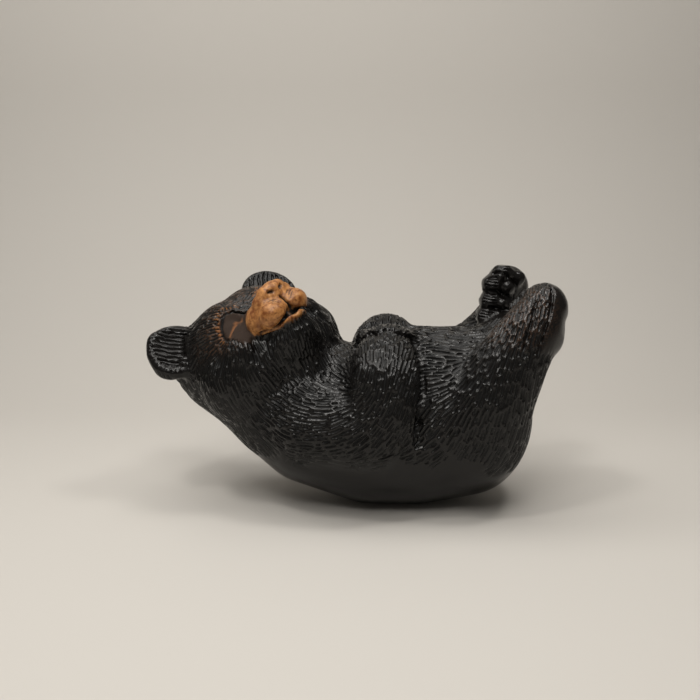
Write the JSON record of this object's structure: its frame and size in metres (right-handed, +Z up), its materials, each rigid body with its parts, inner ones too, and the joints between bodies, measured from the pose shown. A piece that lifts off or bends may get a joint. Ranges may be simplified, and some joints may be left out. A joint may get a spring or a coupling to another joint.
{
  "type": "ceramic bear cub figurine",
  "caption": "Glazed ceramic bear cub that lies on its back, head turned to one side, forepaws on its belly and hind feet in the air; a small ornament for a shelf or table.",
  "frame": {"origin": "middle of the figure's bounding box in plan, on the table that it lies on", "axes": "+X from the head towards the hind feet, +Y towards the cub's left side, +Z up, the way its belly faces"},
  "size_m": [0.2086, 0.1032, 0.1223],
  "materials": {
    "black_glaze": "glossy black glaze over a carved coat, with a tan snout and brown dry-brushed brows"
  },
  "bodies": {
    "root": {"bear_cub": "black_glaze"}
  },
  "joints": []
}
